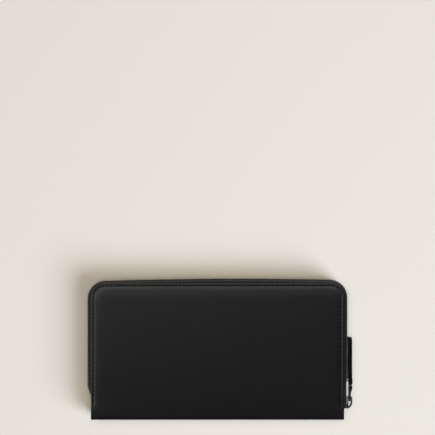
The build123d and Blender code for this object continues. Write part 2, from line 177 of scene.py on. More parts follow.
class Nodes:
    """Short way to write a material's nodes."""

    def __init__(self, name):
        self.material = bpy.data.materials.new(name)
        self.material.use_nodes = True
        self.tree = self.material.node_tree
        self.shader = self.tree.nodes["Principled BSDF"]
        self.place = self.add("ShaderNodeTexCoord").outputs["Object"]

    def add(self, kind, **settings):
        node = self.tree.nodes.new(kind)
        for name, value in settings.items():
            setattr(node, name, value)
        return node

    def link(self, source, target):
        self.tree.links.new(source, target)

    def set(self, **values):
        """Constants on the shader's own sockets."""
        for name, value in values.items():
            self.shader.inputs[name.replace("_", " ")].default_value = value

    def noise(self, per_metre, detail=3.0, stretch=(1, 1, 1)):
        """Noise of about a given number of cells a metre."""
        where = self.add("ShaderNodeMapping")
        where.inputs["Scale"].default_value = stretch
        self.link(self.place, where.inputs["Vector"])
        made = self.add("ShaderNodeTexNoise")
        made.inputs["Scale"].default_value = per_metre
        made.inputs["Detail"].default_value = detail
        self.link(where.outputs["Vector"], made.inputs["Vector"])
        return made.outputs["Fac"]

    def cells(self, per_metre):
        """Rounded cells, as of leather grain."""
        made = self.add("ShaderNodeTexVoronoi", feature="SMOOTH_F1")
        made.inputs["Scale"].default_value = per_metre
        self.link(self.place, made.inputs["Vector"])
        return made.outputs["Distance"]

    def ribs(self, per_metre, direction):
        """Straight ribs across a direction, from 0 to 1."""
        along = self.add("ShaderNodeVectorMath", operation="DOT_PRODUCT")
        along.inputs[1].default_value = Vector(direction) * (2 * math.pi * per_metre)
        self.link(self.place, along.inputs[0])
        wave = self.math("SINE", along.outputs["Value"], 0.0)
        return self.math("MULTIPLY_ADD", wave, 0.5, 0.5)

    def ramp(self, source, low, high):
        """Spread a grey value between two values."""
        made = self.add("ShaderNodeMapRange")
        made.inputs["To Min"].default_value = low
        made.inputs["To Max"].default_value = high
        self.link(source, made.inputs["Value"])
        return made.outputs["Result"]

    def tint(self, source, dark, light):
        """Colour between dark and light."""
        made = self.add("ShaderNodeMix", data_type="RGBA")
        made.inputs["A"].default_value = (*dark, 1)
        made.inputs["B"].default_value = (*light, 1)
        self.link(source, made.inputs["Factor"])
        return made.outputs["Result"]

    def math(self, operation, *values):
        made = self.add("ShaderNodeMath", operation=operation)
        for socket, value in zip(made.inputs, values):
            if isinstance(value, (int, float)):
                socket.default_value = value
            else:
                self.link(value, socket)
        return made.outputs["Value"]

    def bump(self, height, depth_mm, strength=1.0, under=None):
        made = self.add("ShaderNodeBump")
        made.inputs["Distance"].default_value = depth_mm * MM
        made.inputs["Strength"].default_value = strength
        self.link(height, made.inputs["Height"])
        if under:
            self.link(under, made.inputs["Normal"])
        return made.outputs["Normal"]

    def finish(self, colour, roughness, normal):
        self.link(colour, self.shader.inputs["Base Color"])
        self.link(roughness, self.shader.inputs["Roughness"])
        self.link(normal, self.shader.inputs["Normal"])
        return self.material


def leather(name, dark, light, gloss, grain, depth, shine=0.5):
    """Dyed leather: faint mottling, fine rounded grain and pores."""
    n = Nodes(name)
    n.set(Specular_IOR_Level=shine)
    colour = n.tint(n.noise(90, 5), dark, light)
    roughness = n.ramp(n.noise(260, 4), gloss - 0.03, gloss + 0.04)
    folds = n.bump(n.noise(210, 3), 0.05, 0.3)
    pores = n.bump(n.cells(grain), depth, 0.4, folds)
    return n.finish(colour, roughness, pores)


def cloth(name, dark, light, threads, depth, gloss=0.8, shine=0.15):
    """Close weave of threads that cross at an angle on whichever way a surface faces."""
    n = Nodes(name)
    n.set(Specular_IOR_Level=shine)
    weave = n.math("MULTIPLY", n.ribs(threads, (0.7, 0.7, 0.7)), n.ribs(threads, (0.7, -0.7, 0.7)))
    weave = n.math("ADD", weave, n.math("MULTIPLY", n.ribs(threads, (0.7, 0.7, -0.7)), 0.5))
    uneven = n.math("MULTIPLY", n.noise(900), 0.4)
    colour = n.tint(n.math("MULTIPLY_ADD", weave, 0.5, uneven), dark, light)
    roughness = n.ramp(n.noise(500), gloss - 0.08, gloss + 0.08)
    return n.finish(colour, roughness, n.bump(weave, depth, 0.8))


def thread(name, dark, light):
    """Waxed sewing thread with a fine twist."""
    n = Nodes(name)
    n.set(Specular_IOR_Level=0.8)
    twist = n.math("MULTIPLY", n.ribs(2600, (0.8, 0.6, 0.2)), n.ribs(2600, (0.6, -0.8, 0.3)))
    colour = n.tint(n.math("MULTIPLY_ADD", twist, 0.6, n.math("MULTIPLY", n.noise(1500), 0.5)), dark, light)
    return n.finish(colour, n.ramp(n.noise(700), 0.28, 0.42), n.bump(twist, 0.05, 0.8))


def metal(name, dark, light, gloss, metallic, scratches=0.25, shine=0.5):
    """Plated metal with a faint handling haze and fine scratches."""
    n = Nodes(name)
    n.set(Metallic=metallic, Specular_IOR_Level=shine)
    haze = n.noise(400, 4)
    colour = n.tint(haze, dark, light)
    roughness = n.ramp(haze, gloss * 0.75, gloss * 1.35)
    lines = n.noise(900, 2, (1, 0.06, 1))
    return n.finish(colour, roughness, n.bump(lines, 0.006, scratches))


BLACK_LEATHER = leather(
    "black_leather", (0.0036, 0.0036, 0.0037), (0.0054, 0.0053, 0.0052), 0.25, 1700, 0.012
)
INNER_LEATHER = leather("inner_leather", (0.006, 0.006, 0.0062), (0.011, 0.0108, 0.0106), 0.46, 1300, 0.05)
EDGE_PAINT = leather("edge_paint", (0.0014, 0.0014, 0.0014), (0.0026, 0.0026, 0.0025), 0.3, 600, 0.02, 0.15)
LINING = cloth("lining_cloth", (0.006, 0.006, 0.0065), (0.020, 0.020, 0.021), 1300, 0.05)
TAPE = cloth("zip_tape_cloth", (0.002, 0.002, 0.0022), (0.009, 0.009, 0.0093), 1000, 0.08, 0.5, 0.2)
THREAD = thread("sewing_thread", (0.011, 0.011, 0.0112), (0.038, 0.0375, 0.037))
TEETH = metal("black_zip_metal", (0.008, 0.008, 0.0084), (0.017, 0.017, 0.017), 0.36, 0.1, 0.25, 0.2)
GUNMETAL = metal("polished_gunmetal", (0.42, 0.42, 0.425), (0.55, 0.55, 0.555), 0.16, 1.0)
# Bright nickel is a painted highlight for the slider's top plate, made brighter still by a real reflection of
# the small slider_gloss lamp.
PAINTED_HIGHLIGHT_NICKEL = metal("nickel_with_painted_highlight", (0.66, 0.66, 0.665), (0.78, 0.78, 0.785), 0.07, 1.0, 0.02)
DARK_NICKEL = metal("dark_nickel", (0.12, 0.12, 0.122), (0.19, 0.19, 0.192), 0.2, 1.0)
BOARD = cloth("grey_board", (0.20, 0.18, 0.15), (0.33, 0.30, 0.26), 500, 0.02)


# ---------------------------------------------------------------- lines to follow


class Rail:
    """Line up the left side, round a corner, across the top, round a corner, down the right."""

    def __init__(self, half, top, radius, foot):
        self.half, self.top, self.radius = half, top, radius
        self.side = top - radius - foot
        self.corner = math.pi / 2 * radius
        self.length = 2 * (self.side + self.corner + half - radius)
        self.foot = foot

    def at(self, distance):
        """Point, direction along and direction outwards, at a distance from the left foot."""
        flip = distance > self.length / 2
        run = self.length - distance if flip else distance
        turn = min(max(run - self.side, 0), self.corner) / self.radius
        x = self.radius - self.half - self.radius * math.cos(turn)
        y = self.top - self.radius + self.radius * math.sin(turn)
        if run < self.side:
            y = self.foot + run
        x += max(0.0, run - self.side - self.corner)
        along = (math.sin(turn), math.cos(turn))
        out = (-math.cos(turn), math.sin(turn))
        if flip:
            x, along, out = -x, (along[0], -along[1]), (-out[0], out[1])
        return (x, y), along, out


ZIP_BULGE = 0.6       # how far the zip stands out past its CAD line along the sides
ZIP_SAG = 1.64        # how much lower it lies at its left corner than the CAD line
ZIP_TUCK = 3.6        # how far its open end is tucked in
ZIP_TUCKED = (-39.0, -26.0)     # it is tucked in below these, going up
ZIP_IN_SLIDER = (-24.6, -20.8)  # below these it follows its CAD line, through the slider
ZIP_MIDDLE_SAG = 0.13           # how much lower the middle of its top run lies
ZIP_TILT, ZIP_CROWN = 0.0052, 0.000154  # slope and bow of that run
ZIP_BOW_END = 84.0              # the bow ends where the corners start


def zip_at(distance):
    """Point and directions of the real zip, which is bowed along the top and tucked in at its open end."""
    (x, y), along, out = zip_rail.at(distance)
    reach = min(ZIP_BOW_END, max(-ZIP_BOW_END, x))
    bow = ZIP_TILT * reach - ZIP_CROWN * reach * reach
    y += bow + ZIP_SAG - ZIP_MIDDLE_SAG
    if x < 0:
        x += ZIP_TUCK * (1 - smooth(*ZIP_TUCKED, y))
    else:
        x -= ZIP_BULGE * (1 - smooth(*ZIP_IN_SLIDER, y))
    return (x, y), along, out


zip_rail = Rail(ZIP_HALF + ZIP_BULGE, ZIP_TOP - ZIP_SAG, ZIP_CORNER, ZIP_FOOT)
stitch_rail = Rail(HALF - STITCH_INSET, MOUTH - STITCH_INSET, COVER_CORNER - STITCH_INSET, STITCH_FOOT)


# ---------------------------------------------------------------- cover skin
EDGE_STEPS = [
    0, 0.1, 0.25, 0.45, 0.8, 1.2, 1.45, 1.65, 1.85, 2.05, 2.25, 2.4,
    2.55, 2.7, 2.95, 3.3, 3.8, 4.5, 5.4, 6.6, 8.1, COVER_CORNER,
]
STITCH_LINE_DEPTH, STITCH_LINE_WIDTH = 0.16, 0.33
NEEDLE_HOLE_DEPTH, NEEDLE_HOLE_WIDTH = 0.36, 0.3
PADDING_SLOPE = 3.0      # how far in from the stitches the padding rises
SEWN_ENDS = (-44, -37)   # the sewn edge fades out towards the spine between these
CORNER_PULL = 0.45       # how much further the stitches pull the corners down


def rim(inset):
    """How far the cut edge of the leather is rounded off, near the edge."""
    return EDGE_ROUNDING * (1 - min(1.0, inset / 0.5)) ** 2


def stitch_inset(x, y):
    """Distance of the stitches from the cover's edge: less down its right side."""
    reach, rise = x - (HALF - COVER_CORNER), y - (MOUTH - COVER_CORNER)
    if reach <= 0:
        return STITCH_INSET
    return STITCH_INSET - RIGHT_STITCHES_OUT * math.cos(math.atan2(max(0.0, rise), reach))


def stitch_dip(past):
    """Depth of the line that the stitches pull into the leather, at a distance past it."""
    return STITCH_LINE_DEPTH * math.exp(-((past / STITCH_LINE_WIDTH) ** 2))


def along_stitches(x, y):
    """Distance along the stitch line of the place on it nearest to a point."""
    reach, rise = abs(x) - (HALF - COVER_CORNER), y - (MOUTH - COVER_CORNER)
    if rise < 0:
        run = y - STITCH_FOOT
    elif reach < 0:
        run = stitch_rail.side + stitch_rail.corner - reach
    else:
        run = stitch_rail.side + stitch_rail.radius * math.atan2(rise, reach)
    return run if x < 0 else stitch_rail.length - run


def needle_hole(x, y, past):
    """Depth of the holes between one stitch and the next, at a distance past the stitch line."""
    if abs(past) > 0.8 or y < STITCH_FOOT:
        return 0.0
    between = 0.5 - 0.5 * math.cos(2 * math.pi * (along_stitches(x, y) - STITCH_START) / STITCH_PITCH)
    return NEEDLE_HOLE_DEPTH * between**3 * math.exp(-((past / NEEDLE_HOLE_WIDTH) ** 2))


def skin_height(x, y, inset):
    """Height of the cover's outside: padded in the middle, sewn down at its edge, a little uneven."""
    sewn = smooth(*SEWN_ENDS, y)
    past = inset - stitch_inset(x, y)
    pressed = SEWN_DOWN * math.exp(min(0.0, -past) / PADDING_SLOPE)
    pressed *= 0.25 + 0.75 * sewn
    to_corner = smooth(-5, 3, abs(x) - HALF + COVER_CORNER) * smooth(-5, 3, y - MOUTH + COVER_CORNER)
    pressed *= 1 + CORNER_PULL * to_corner
    uneven = 0.04 * wobble(x, y, 26, 3.1) + 0.015 * wobble(x, y, 9, 7.7)
    sewn_line = sewn * stitch_dip(past) + needle_hole(x, y, past)
    return TOP - rim(inset) - pressed - sewn_line + uneven * min(1.0, inset / 8)


def skin_columns():
    """Places across the wallet as (x, distance in from the nearer side edge)."""
    left = [(inset - HALF, inset) for inset in EDGE_STEPS]
    middle = [(x, HALF - abs(x)) for x in spaced(COVER_CORNER - HALF, HALF - COVER_CORNER, SKIN_GRID)[1:-1]]
    right = [(-x, inset) for x, inset in reversed(left)]
    return left + middle + right


def grid_faces(rows, columns, first=0):
    """Quads of a grid of points stored row by row."""
    faces = []
    for row in range(rows - 1):
        for column in range(columns - 1):
            corner = first + row * columns + column
            faces.append((corner, corner + 1, corner + columns + 1, corner + columns))
    return faces


def tube_faces(stations, size, first=0, capped=True):
    """Quads round a tube of rings of points, and a face over each of its ends."""
    faces = []
    for station in range(stations - 1):
        for number in range(size):
            a = first + station * size + number
            b = first + station * size + (number + 1) % size
            faces.append((a, b, b + size, a + size))
    if capped:
        last = first + (stations - 1) * size
        faces.append(tuple(range(first, first + size)))
        faces.append(tuple(range(last, last + size)))
    return faces


def skin_patches():
    """Points and faces of one cover and its half of the spine: flat part, mouth strip and corners."""
    points, faces = [], []

    def add_grid(rows):
        faces.extend(grid_faces(len(rows), len(rows[0]), len(points)))
        points.extend(point for row in rows for point in row)

    columns = skin_columns()
    corner_y = MOUTH - COVER_CORNER
    fold_y = SPINE_OUT + FOLD_RADIUS
    rows = [
        [(x, y, skin_height(x, y, inset)) for x, inset in columns]
        for y in spaced(corner_y, fold_y, SKIN_GRID)
    ]
    for turn in spaced(0, 90, 7.5)[1:]:
        out_y, out_z = -math.sin(math.radians(turn)), math.cos(math.radians(turn))
        row = []
        for x, inset in columns:
            flat_z = skin_height(x, fold_y, inset)
            radius = FOLD_RADIUS - rim(inset) + (flat_z - TOP + rim(inset)) * (1 - turn / 90) ** 2
            row.append((x, fold_y + radius * out_y, TOP - FOLD_RADIUS + radius * out_z))
        rows.append(row)
    for z in spaced(TOP - FOLD_RADIUS, MID, 1.0)[1:]:
        bow = 0.5 * smooth(TOP - FOLD_RADIUS, MID + 3.0, z)
        rows.append([(x, SPINE_OUT - bow + rim(inset), z) for x, inset in columns])
    add_grid(rows)

    inner = [x for x, inset in columns if abs(x) <= HALF - COVER_CORNER + 1e-6]
    mouth_rows = [(MOUTH - inset, inset) for inset in EDGE_STEPS]
    add_grid([[(x, y, skin_height(x, y, inset)) for x in inner] for y, inset in mouth_rows])
    for side in (-1, 1):
        centre_x = side * (HALF - COVER_CORNER)
        rows = []
        for turn in spaced(0, 90, 5):
            a = math.radians(turn)
            row = []
            for inset in EDGE_STEPS:
                reach = COVER_CORNER - inset
                x = centre_x + side * reach * math.cos(a)
                y = corner_y + reach * math.sin(a)
                row.append((x, y, skin_height(x, y, inset)))
            rows.append(row)
        add_grid(rows)
    return points, faces


def make_skin(side):
    """Cover leather with its half of the spine, bending at the fold line."""
    points, faces = skin_patches()
    if side == "back":
        points = mirrored(points)
    skin = new_piece(f"{side}_skin", points, faces, weld=0.01)
    outwards = 1 if side == "front" else -1
    middle_face = max(skin.data.polygons, key=lambda face: face.area)
    if middle_face.normal.z * outwards < 0:
        skin.data.flip_normals()
    thicken(skin, SKIN)
    sharpen(skin, 60)
    nodes = [f"{side}_cover_leather"] + (["spine_leather"] if side == "front" else [])
    dress(skin, None, BLACK_LEATHER, "cover_leather", *nodes)
    lift = (lambda z: z) if side == "front" else (lambda z: TOP - z)
    start = Vector((0, SPINE + 3.0, lift(TOP - 0.5))) * MM
    end = Vector((0, SPINE, lift(TOP - 6.0))) * MM
    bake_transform(skin)


for cover in ("back", "front"):
    make_skin(cover)


# ---------------------------------------------------------------- stitches


def stitch(centre, along, out, up, length, radius, slant, sides=8, steps=8):
    """One stitch: a bowed bit of thread whose two ends dive into the leather."""
    turn = math.radians(slant)
    along, out = (
        along * math.cos(turn) + out * math.sin(turn),
        out * math.cos(turn) - along * math.sin(turn),
    )
    points = []
    for step in range(steps + 1):
        share = 2 * step / steps - 1
        height = 0.62 * radius - 1.9 * radius * abs(share) ** 3.2
        middle = centre + along * (share * length / 2) + up * height
        width = radius * (1 - 0.25 * share**4)
        for number in range(sides):
            a = 2 * math.pi * number / sides
            points.append(middle + out * (width * math.cos(a)) + up * (0.8 * width * math.sin(a)))
    return points, tube_faces(steps + 1, sides)


def stitch_row(name, stitches):
    """One piece made of many stitches, each given as stitch()'s arguments."""
    points, faces = [], []
    for arguments in stitches:
        some_points, some_faces = stitch(*arguments)
        faces.extend(tuple(len(points) + k for k in face) for face in some_faces)
        points.extend(some_points)
    return new_piece(name, points, faces)


def cover_stitches(side):
    """Stitches round three sides of a cover."""
    sign = 1 if side == "front" else -1
    found = []
    count = int((stitch_rail.length - 2.2) / STITCH_PITCH) + 1
    for number in range(count):
        (x, y), along, out = stitch_rail.at(STITCH_START + number * STITCH_PITCH)
        inset = stitch_inset(x, y)
        x, y = x + out[0] * (STITCH_INSET - inset), y + out[1] * (STITCH_INSET - inset)
        z = skin_height(x, y, inset)
        centre = Vector((x, y, z if side == "front" else TOP - z))
        slant = 9 + 2.5 * wobble(number * 3.7, 0, 1.3, 11)
        up = Vector((0, 0, sign))
        found.append((centre, Vector((*along, 0)), Vector((*out, 0)), up, 1.95, 0.34, slant))
    row = stitch_row(f"{side}_edge_stitches", found)
    dress(row, f"{side}_cover", THREAD, "thread", f"{side}_cover_stitching")


for cover in ("back", "front"):
    cover_stitches(cover)


# ---------------------------------------------------------------- zip tapes and teeth


def sweep(profile, stations):
    """Closed profile of (out, z) points carried along the zip's line, with both ends closed."""
    points = []
    for distance in stations:
        (x, y), along, out = zip_at(distance)
        points.extend((x + out[0] * reach, y + out[1] * reach, z) for reach, z in profile)
    return points, tube_faces(len(stations), len(profile))


def tape_profile():
    """Front tape across its width: sewn edge, bend, and the wall down to the teeth."""
    flange, bend, edge, half = 7.0, 3.2, MID + 1.4, 0.2
    level = TOP - 1.4
    outer = [(-flange, level + half)]
    outer += arc((-bend, level - bend), bend + half, 90, 0, 10)
    outer += [(half, 17.0), (half, 15.2), (half + 0.2, 14.6), (half, edge)]
    inner = [(-half, edge), (-half - 0.2, 14.6), (-half, 15.2), (-half, 17.0)]
    inner += arc((-bend, level - bend), bend - half, 0, 90, 10)
    inner += [(-flange, level - half)]
    return outer + inner


def make_tape(side):
    """Tape of one side of the zip, with more stations round its corners."""
    stations = spaced(0, zip_rail.side, 2.0)
    stations += spaced(zip_rail.side, zip_rail.side + zip_rail.corner, 0.9)[1:]
    stations += spaced(stations[-1], zip_rail.length / 2, 3.0)[1:]
    stations += [zip_rail.length - s for s in reversed(stations[:-1])]
    points, faces = sweep(tape_profile(), stations)
    if side == "back":
        points = mirrored(points)
    tape = new_piece(f"{side}_tape", points, faces)
    sharpen(tape, 50)
    dress(tape, f"{side}_cover", TAPE, "zip_tape", f"{side}_zip_tape")


LEG_HALF, NECK_HALF, HEAD_HALF = 0.64, 0.47, 0.43   # half widths of a tooth along the zip
TEETH_FROM, TEETH_SHORT = 7.0, 4.8   # from the tape's two ends to the first and the last tooth


def tooth_shape():
    """One front tooth round the origin: two legs over the tape's edge, and a head that points down."""
    outline = [
        (2.5, 0.9), (2.15, TOOTH_HALF), (1.0, TOOTH_HALF), (-0.1, 0.92), (-0.9, 0.6),
        (-0.9, -0.6), (-0.1, -0.92), (1.0, -TOOTH_HALF), (2.15, -TOOTH_HALF), (2.5, -0.9),
        (2.5, -0.36), (1.35, -0.36), (1.35, 0.36), (2.5, 0.36),
    ]
    shape = bmesh.new()
    for end in (-1, 1):
        for z, out in outline:
            wide = LEG_HALF if z > 1.2 else NECK_HALF if z > 0.5 else HEAD_HALF
            shape.verts.new((out, end * wide, z))
    shape.verts.ensure_lookup_table()
    size = len(outline)
    shape.faces.new([shape.verts[k] for k in range(size)])
    shape.faces.new([shape.verts[size + k] for k in reversed(range(size))])
    for k in range(size):
        after = (k + 1) % size
        shape.faces.new([shape.verts[n] for n in (k, size + k, size + after, after)])
    bmesh.ops.recalc_face_normals(shape, faces=shape.faces)
    sharp = [e for e in shape.edges if e.calc_face_angle(0) > math.radians(25)]
    bmesh.ops.bevel(shape, geom=sharp, offset=0.1, segments=2, affect="EDGES", clamp_overlap=True)
    shape.verts.index_update()
    points = [v.co.copy() for v in shape.verts]
    faces = [tuple(v.index for v in face.verts) for face in shape.faces]
    shape.free()
    return points, faces


def make_teeth(side):
    """A row of teeth from the open end on the left to inside the slider on the right."""
    shape_points, shape_faces = tooth_shape()
    offset = TEETH_FROM if side == "back" else TEETH_FROM + ZIP_PITCH / 2
    count = int((zip_rail.length - TEETH_FROM - TEETH_SHORT) / ZIP_PITCH)
    points, faces = [], []
    for number in range(count):
        distance = offset + number * ZIP_PITCH
        (x, y), along, out = zip_at(distance)
        base = len(points)
        for p in shape_points:
            points.append((x + out[0] * p.x + along[0] * p.y, y + out[1] * p.x + along[1] * p.y, MID + p.z))
        faces.extend(tuple(base + k for k in face) for face in shape_faces)
    if side == "back":
        points = mirrored(points)
    row = new_piece(f"{side}_teeth", points, faces)
    sharpen(row, 40)
    dress(row, f"{side}_cover", TEETH, "zip_teeth", f"{side}_zip_teeth")


for cover in ("back", "front"):
    make_tape(cover)
    make_teeth(cover)


# ---------------------------------------------------------------- pieces refined from the CAD


def copy_node(node, name):
    """New object with a copy of a CAD node's mesh, with its needless edges dissolved."""
    mesh = frame["nodes"][node].data.copy()
    mesh.name = name
    piece = bpy.data.objects.new(name, mesh)
    bpy.context.scene.collection.objects.link(piece)
    shape = bmesh.new()
    shape.from_mesh(mesh)
    bmesh.ops.remove_doubles(shape, verts=shape.verts, dist=1e-7)
    bmesh.ops.dissolve_limit(shape, angle_limit=math.radians(1.0), verts=shape.verts, edges=shape.edges)
    return piece, shape


def cut_across(shape, axis, places):
    """Add edges on planes across an axis, at places in millimetres."""
    normal = Vector([float(k == axis) for k in range(3)])
    for place in places:
        everything = shape.verts[:] + shape.edges[:] + shape.faces[:]
        bmesh.ops.bisect_plane(shape, geom=everything, plane_co=normal * place * MM, plane_no=normal)


def refined(node, name, width, segments=3, cuts=(), shape_by=None):
    """Copy of a CAD node with rounded edges, cut finely where it is to be shaped."""
    piece, shape = copy_node(node, name)
    sharp = [e for e in shape.edges if len(e.link_faces) == 2 and e.calc_face_angle(0) > math.radians(30)]
    bmesh.ops.bevel(
        shape, geom=sharp, offset=width * MM, segments=segments, affect="EDGES", clamp_overlap=True
    )
    for axis, places in cuts:
        cut_across(shape, axis, places)
    if shape_by:
        for v in shape.verts:
            v.co = shape_by(v.co / MM) * MM
    shape.to_mesh(piece.data)
    shape.free()
    sharpen(piece, 35)
    return piece


SLIDER_FACE = 98.2        # outside of the slider's outer plate
SLIDER_SHOULDER = -34.6   # where its parallel tail ends and it widens


def metal_part(node, body, name, width, material, slot):
    """Copy of a CAD node with its edges rounded."""
    dress(refined(node, name, width), body, material, slot, node)


def waisted(p):
    """The link is thinner halfway between the bridge and the tab."""
    p.x -= 0.6 * smooth(99.2, 100.6, p.x) * smooth(-29.5, -33.5, p.y) * smooth(-38.5, -35.5, p.y)
    return p


main_slider = refined("zip_slider", "main_zip_slider", 0.14)
sharpen(main_slider, 3)   # its flat faces mirror evenly
dress(main_slider, "main_slider", PAINTED_HIGHLIGHT_NICKEL, "gunmetal", "zip_slider")
# The slider's top plate keeps the bright nickel as a painted highlight strip; its outer face and tail get
# dark nickel.
main_slider.data.materials.append(DARK_NICKEL)
for face in main_slider.data.polygons:
    if face.center.x / MM > SLIDER_FACE + 0.05 or face.center.y / MM < SLIDER_SHOULDER:
        face.material_index = 1
pull_link = refined("pull_link", "main_pull_link_metal", 0.4, 3, ((1, spaced(-38.0, -27.5, 0.8)),), waisted)
dress(pull_link, "main_pull_link", DARK_NICKEL, "gunmetal", "pull_link")
metal_part("coin_zip_slider", "coin_slider", "coin_slider_metal", 0.18, GUNMETAL, "gunmetal")
metal_part("coin_zip_pull", "coin_pull", "coin_pull_metal", 0.2, GUNMETAL, "gunmetal")
metal_part("coin_zip_stops", "coin_pocket", "coin_zip_stop_metal", 0.15, TEETH, "zip_teeth")
for cover in ("back", "front"):
    metal_part(f"{cover}_zip_top_stop", f"{cover}_cover", f"{cover}_top_stop_metal", 0.15, TEETH, "zip_teeth")
    node, name = f"{cover}_coin_zip_teeth", f"{cover}_coin_teeth_metal"
    metal_part(node, "coin_pocket", name, 0.14, TEETH, "zip_teeth")


def tucked_in(p):
    """The bottom stop sits on the tucked-in end of the zip."""
    p.x += ZIP_TUCK - ZIP_BULGE
    return p


bottom_stop = refined("zip_bottom_stop", "zip_bottom_stop_metal", 0.25, 3, (), tucked_in)
dress(bottom_stop, "back_cover", TEETH, "zip_teeth", "zip_bottom_stop")

# ---------------------------------------------------------------- pull tab
tab_low, tab_high = box_mm("pull_tab")
TAB_INNER, TAB_OUTER = 98.3, 101.14
TAB_LOW, TAB_HIGH = -26.3, tab_high.y
TAB_WIDE = (tab_high.z - tab_low.z) / 2
TONGUE_WIDE = 2.5
BAR = (99.6, -28.3)
tab_middle = (TAB_INNER + TAB_OUTER) / 2
tab_half = (TAB_OUTER - TAB_INNER) / 2


def tab_lean(y):
    """The tab rests against the zip, and its free end turns in."""
    return -0.3 * smooth(-24.0, -20.5, y) - 0.16 * smooth(4.5, 9.2, y)


def tab_section(half_wide, half_thick):
    """Section of the tab as (across, through): two layers with a groove between them at each edge."""
    quarter = [
        (max(0.2, half_wide - 1.9), half_thick),
        (max(0.3, half_wide - 1.35), half_thick - 0.03),
        (max(0.4, half_wide - 1.1), half_thick - 0.09),
        (max(0.5, half_wide - 0.85), half_thick - 0.04),
        (half_wide - 0.4, half_thick - 0.06),
        (half_wide - 0.14, 0.76 * half_thick),
        (half_wide, 0.42 * half_thick),
        (half_wide - 0.03, 0.12 * half_thick),
        (half_wide - 0.16, 0.0),
    ]
    right = quarter + [(w, -t) for w, t in reversed(quarter[:-1])]
    return right + [(-w, t) for w, t in reversed(right)]


def tab_stations():
    """Places along the tab with its half width and half thickness there."""
    corner, soft = 1.5, 0.3
    ends = [0, 0.06, 0.15, 0.3, 0.55, 0.9, 1.2, 1.5]
    places = [TAB_LOW + e for e in ends] + spaced(TAB_LOW + corner, TAB_HIGH - corner, 1.2)[1:-1]
    places += [TAB_HIGH - e for e in reversed(ends)]
    found = []
    for y in places:
        near = min(y - TAB_LOW, TAB_HIGH - y)
        wide = TAB_WIDE - corner + math.sqrt(max(0.0, corner**2 - max(0.0, corner - near) ** 2))
        thick = tab_half - soft + math.sqrt(max(0.0, soft**2 - max(0.0, soft - near) ** 2))
        found.append((y, wide, thick))
    return found


def make_tab():
    """Leather tab of two sewn layers, with the tongue round the link's bar that they hold."""
    points = []
    stations = tab_stations()
    for y, wide, thick in stations:
        x = tab_middle + tab_lean(y)
        points.extend((x + through, y, MID + across) for across, through in tab_section(wide, thick))
    faces = tube_faces(len(stations), len(points) // len(stations))

    # The tongue goes round the link's bar and back between the two layers.
    turn_radius, tongue_half = 0.98, 0.36
    middle_line = [(tab_middle + turn_radius * 0.62, TAB_LOW + 1.2)]
    middle_line += arc(BAR, turn_radius, 40, -220, 22)
    middle_line += [(tab_middle - turn_radius * 0.62, TAB_LOW + 1.2)]
    rings = []
    for number, (x, y) in enumerate(middle_line):
        before = middle_line[max(0, number - 1)]
        after = middle_line[min(len(middle_line) - 1, number + 1)]
        along = Vector((after[0] - before[0], after[1] - before[1])).normalized()
        side = Vector((-along.y, along.x))
        ring = []
        for across, through in (
            (-TONGUE_WIDE, -0.2), (-TONGUE_WIDE, 0.2), (0.25 - TONGUE_WIDE, tongue_half), (0, tongue_half),
            (TONGUE_WIDE - 0.25, tongue_half), (TONGUE_WIDE, 0.2), (TONGUE_WIDE, -0.2),
            (TONGUE_WIDE - 0.25, -tongue_half), (0, -tongue_half), (0.25 - TONGUE_WIDE, -tongue_half),
        ):
            ring.append((x + side.x * through, y + side.y * through, MID + across))
        rings.append(ring)
    faces += tube_faces(len(rings), len(rings[0]), len(points))
    points.extend(p for ring in rings for p in ring)
    tab = new_piece("pull_tab_leather", points, faces)
    sharpen(tab, 50)
    dress(tab, "main_pull_tab", EDGE_PAINT, "cover_leather", "pull_tab")
    tab.data.materials.append(BLACK_LEATHER)
    for face in tab.data.polygons:
        if abs(face.normal.x) > 0.9:
            face.material_index = 1

    rows = []
    for side in (-1, 1):
        for y in spaced(TAB_LOW + 1.6, TAB_HIGH - 1.8, 2.6):
            for face in (-1, 1):
                x = tab_middle + tab_lean(y) + face * (tab_half - 0.09)
                rows.append((
                    Vector((x, y, MID + side * (TAB_WIDE - 1.1))), Vector((0, 1, 0)), Vector((0, 0, 1)),
                    Vector((face, 0, 0)), 1.9, 0.2, 6, 6, 6,
                ))
        y = TAB_HIGH - 1.15 if side > 0 else TAB_LOW + 1.15
        for z in spaced(-2.6, 2.6, 2.6):
            for face in (-1, 1):
                x = tab_middle + tab_lean(y) + face * (tab_half - 0.03)
                rows.append((
                    Vector((x, y, MID + z)), Vector((0, 0, 1)), Vector((0, 1, 0)),
                    Vector((face, 0, 0)), 1.9, 0.2, 6, 6, 6,
                ))
    dress(stitch_row("pull_tab_stitches", rows), "main_pull_tab", THREAD, "thread")


make_tab()

# ---------------------------------------------------------------- card panels and pockets


def cover_lining(cover):
    """Lining cloth inside a cover, slightly uneven."""
    node = f"{cover}_cover_lining"
    low, high = box_mm(node)
    step, wave = 8.0, 0.02
    cuts = ((0, spaced(low.x + 1, high.x - 1, step)), (1, spaced(low.y + 0.8, high.y - 0.8, step)))

    def uneven(p):
        inside = min(high.x - abs(p.x), p.y - low.y, high.y - p.y)
        p.z += wave * wobble(p.x, p.y, 17, 1.0) * smooth(0.3, 5, inside)
        return p

    piece = refined(node, f"{cover}_lining_cloth", 0.12, 2, cuts, uneven)
    dress(piece, f"{cover}_cover", LINING, "lining", node)


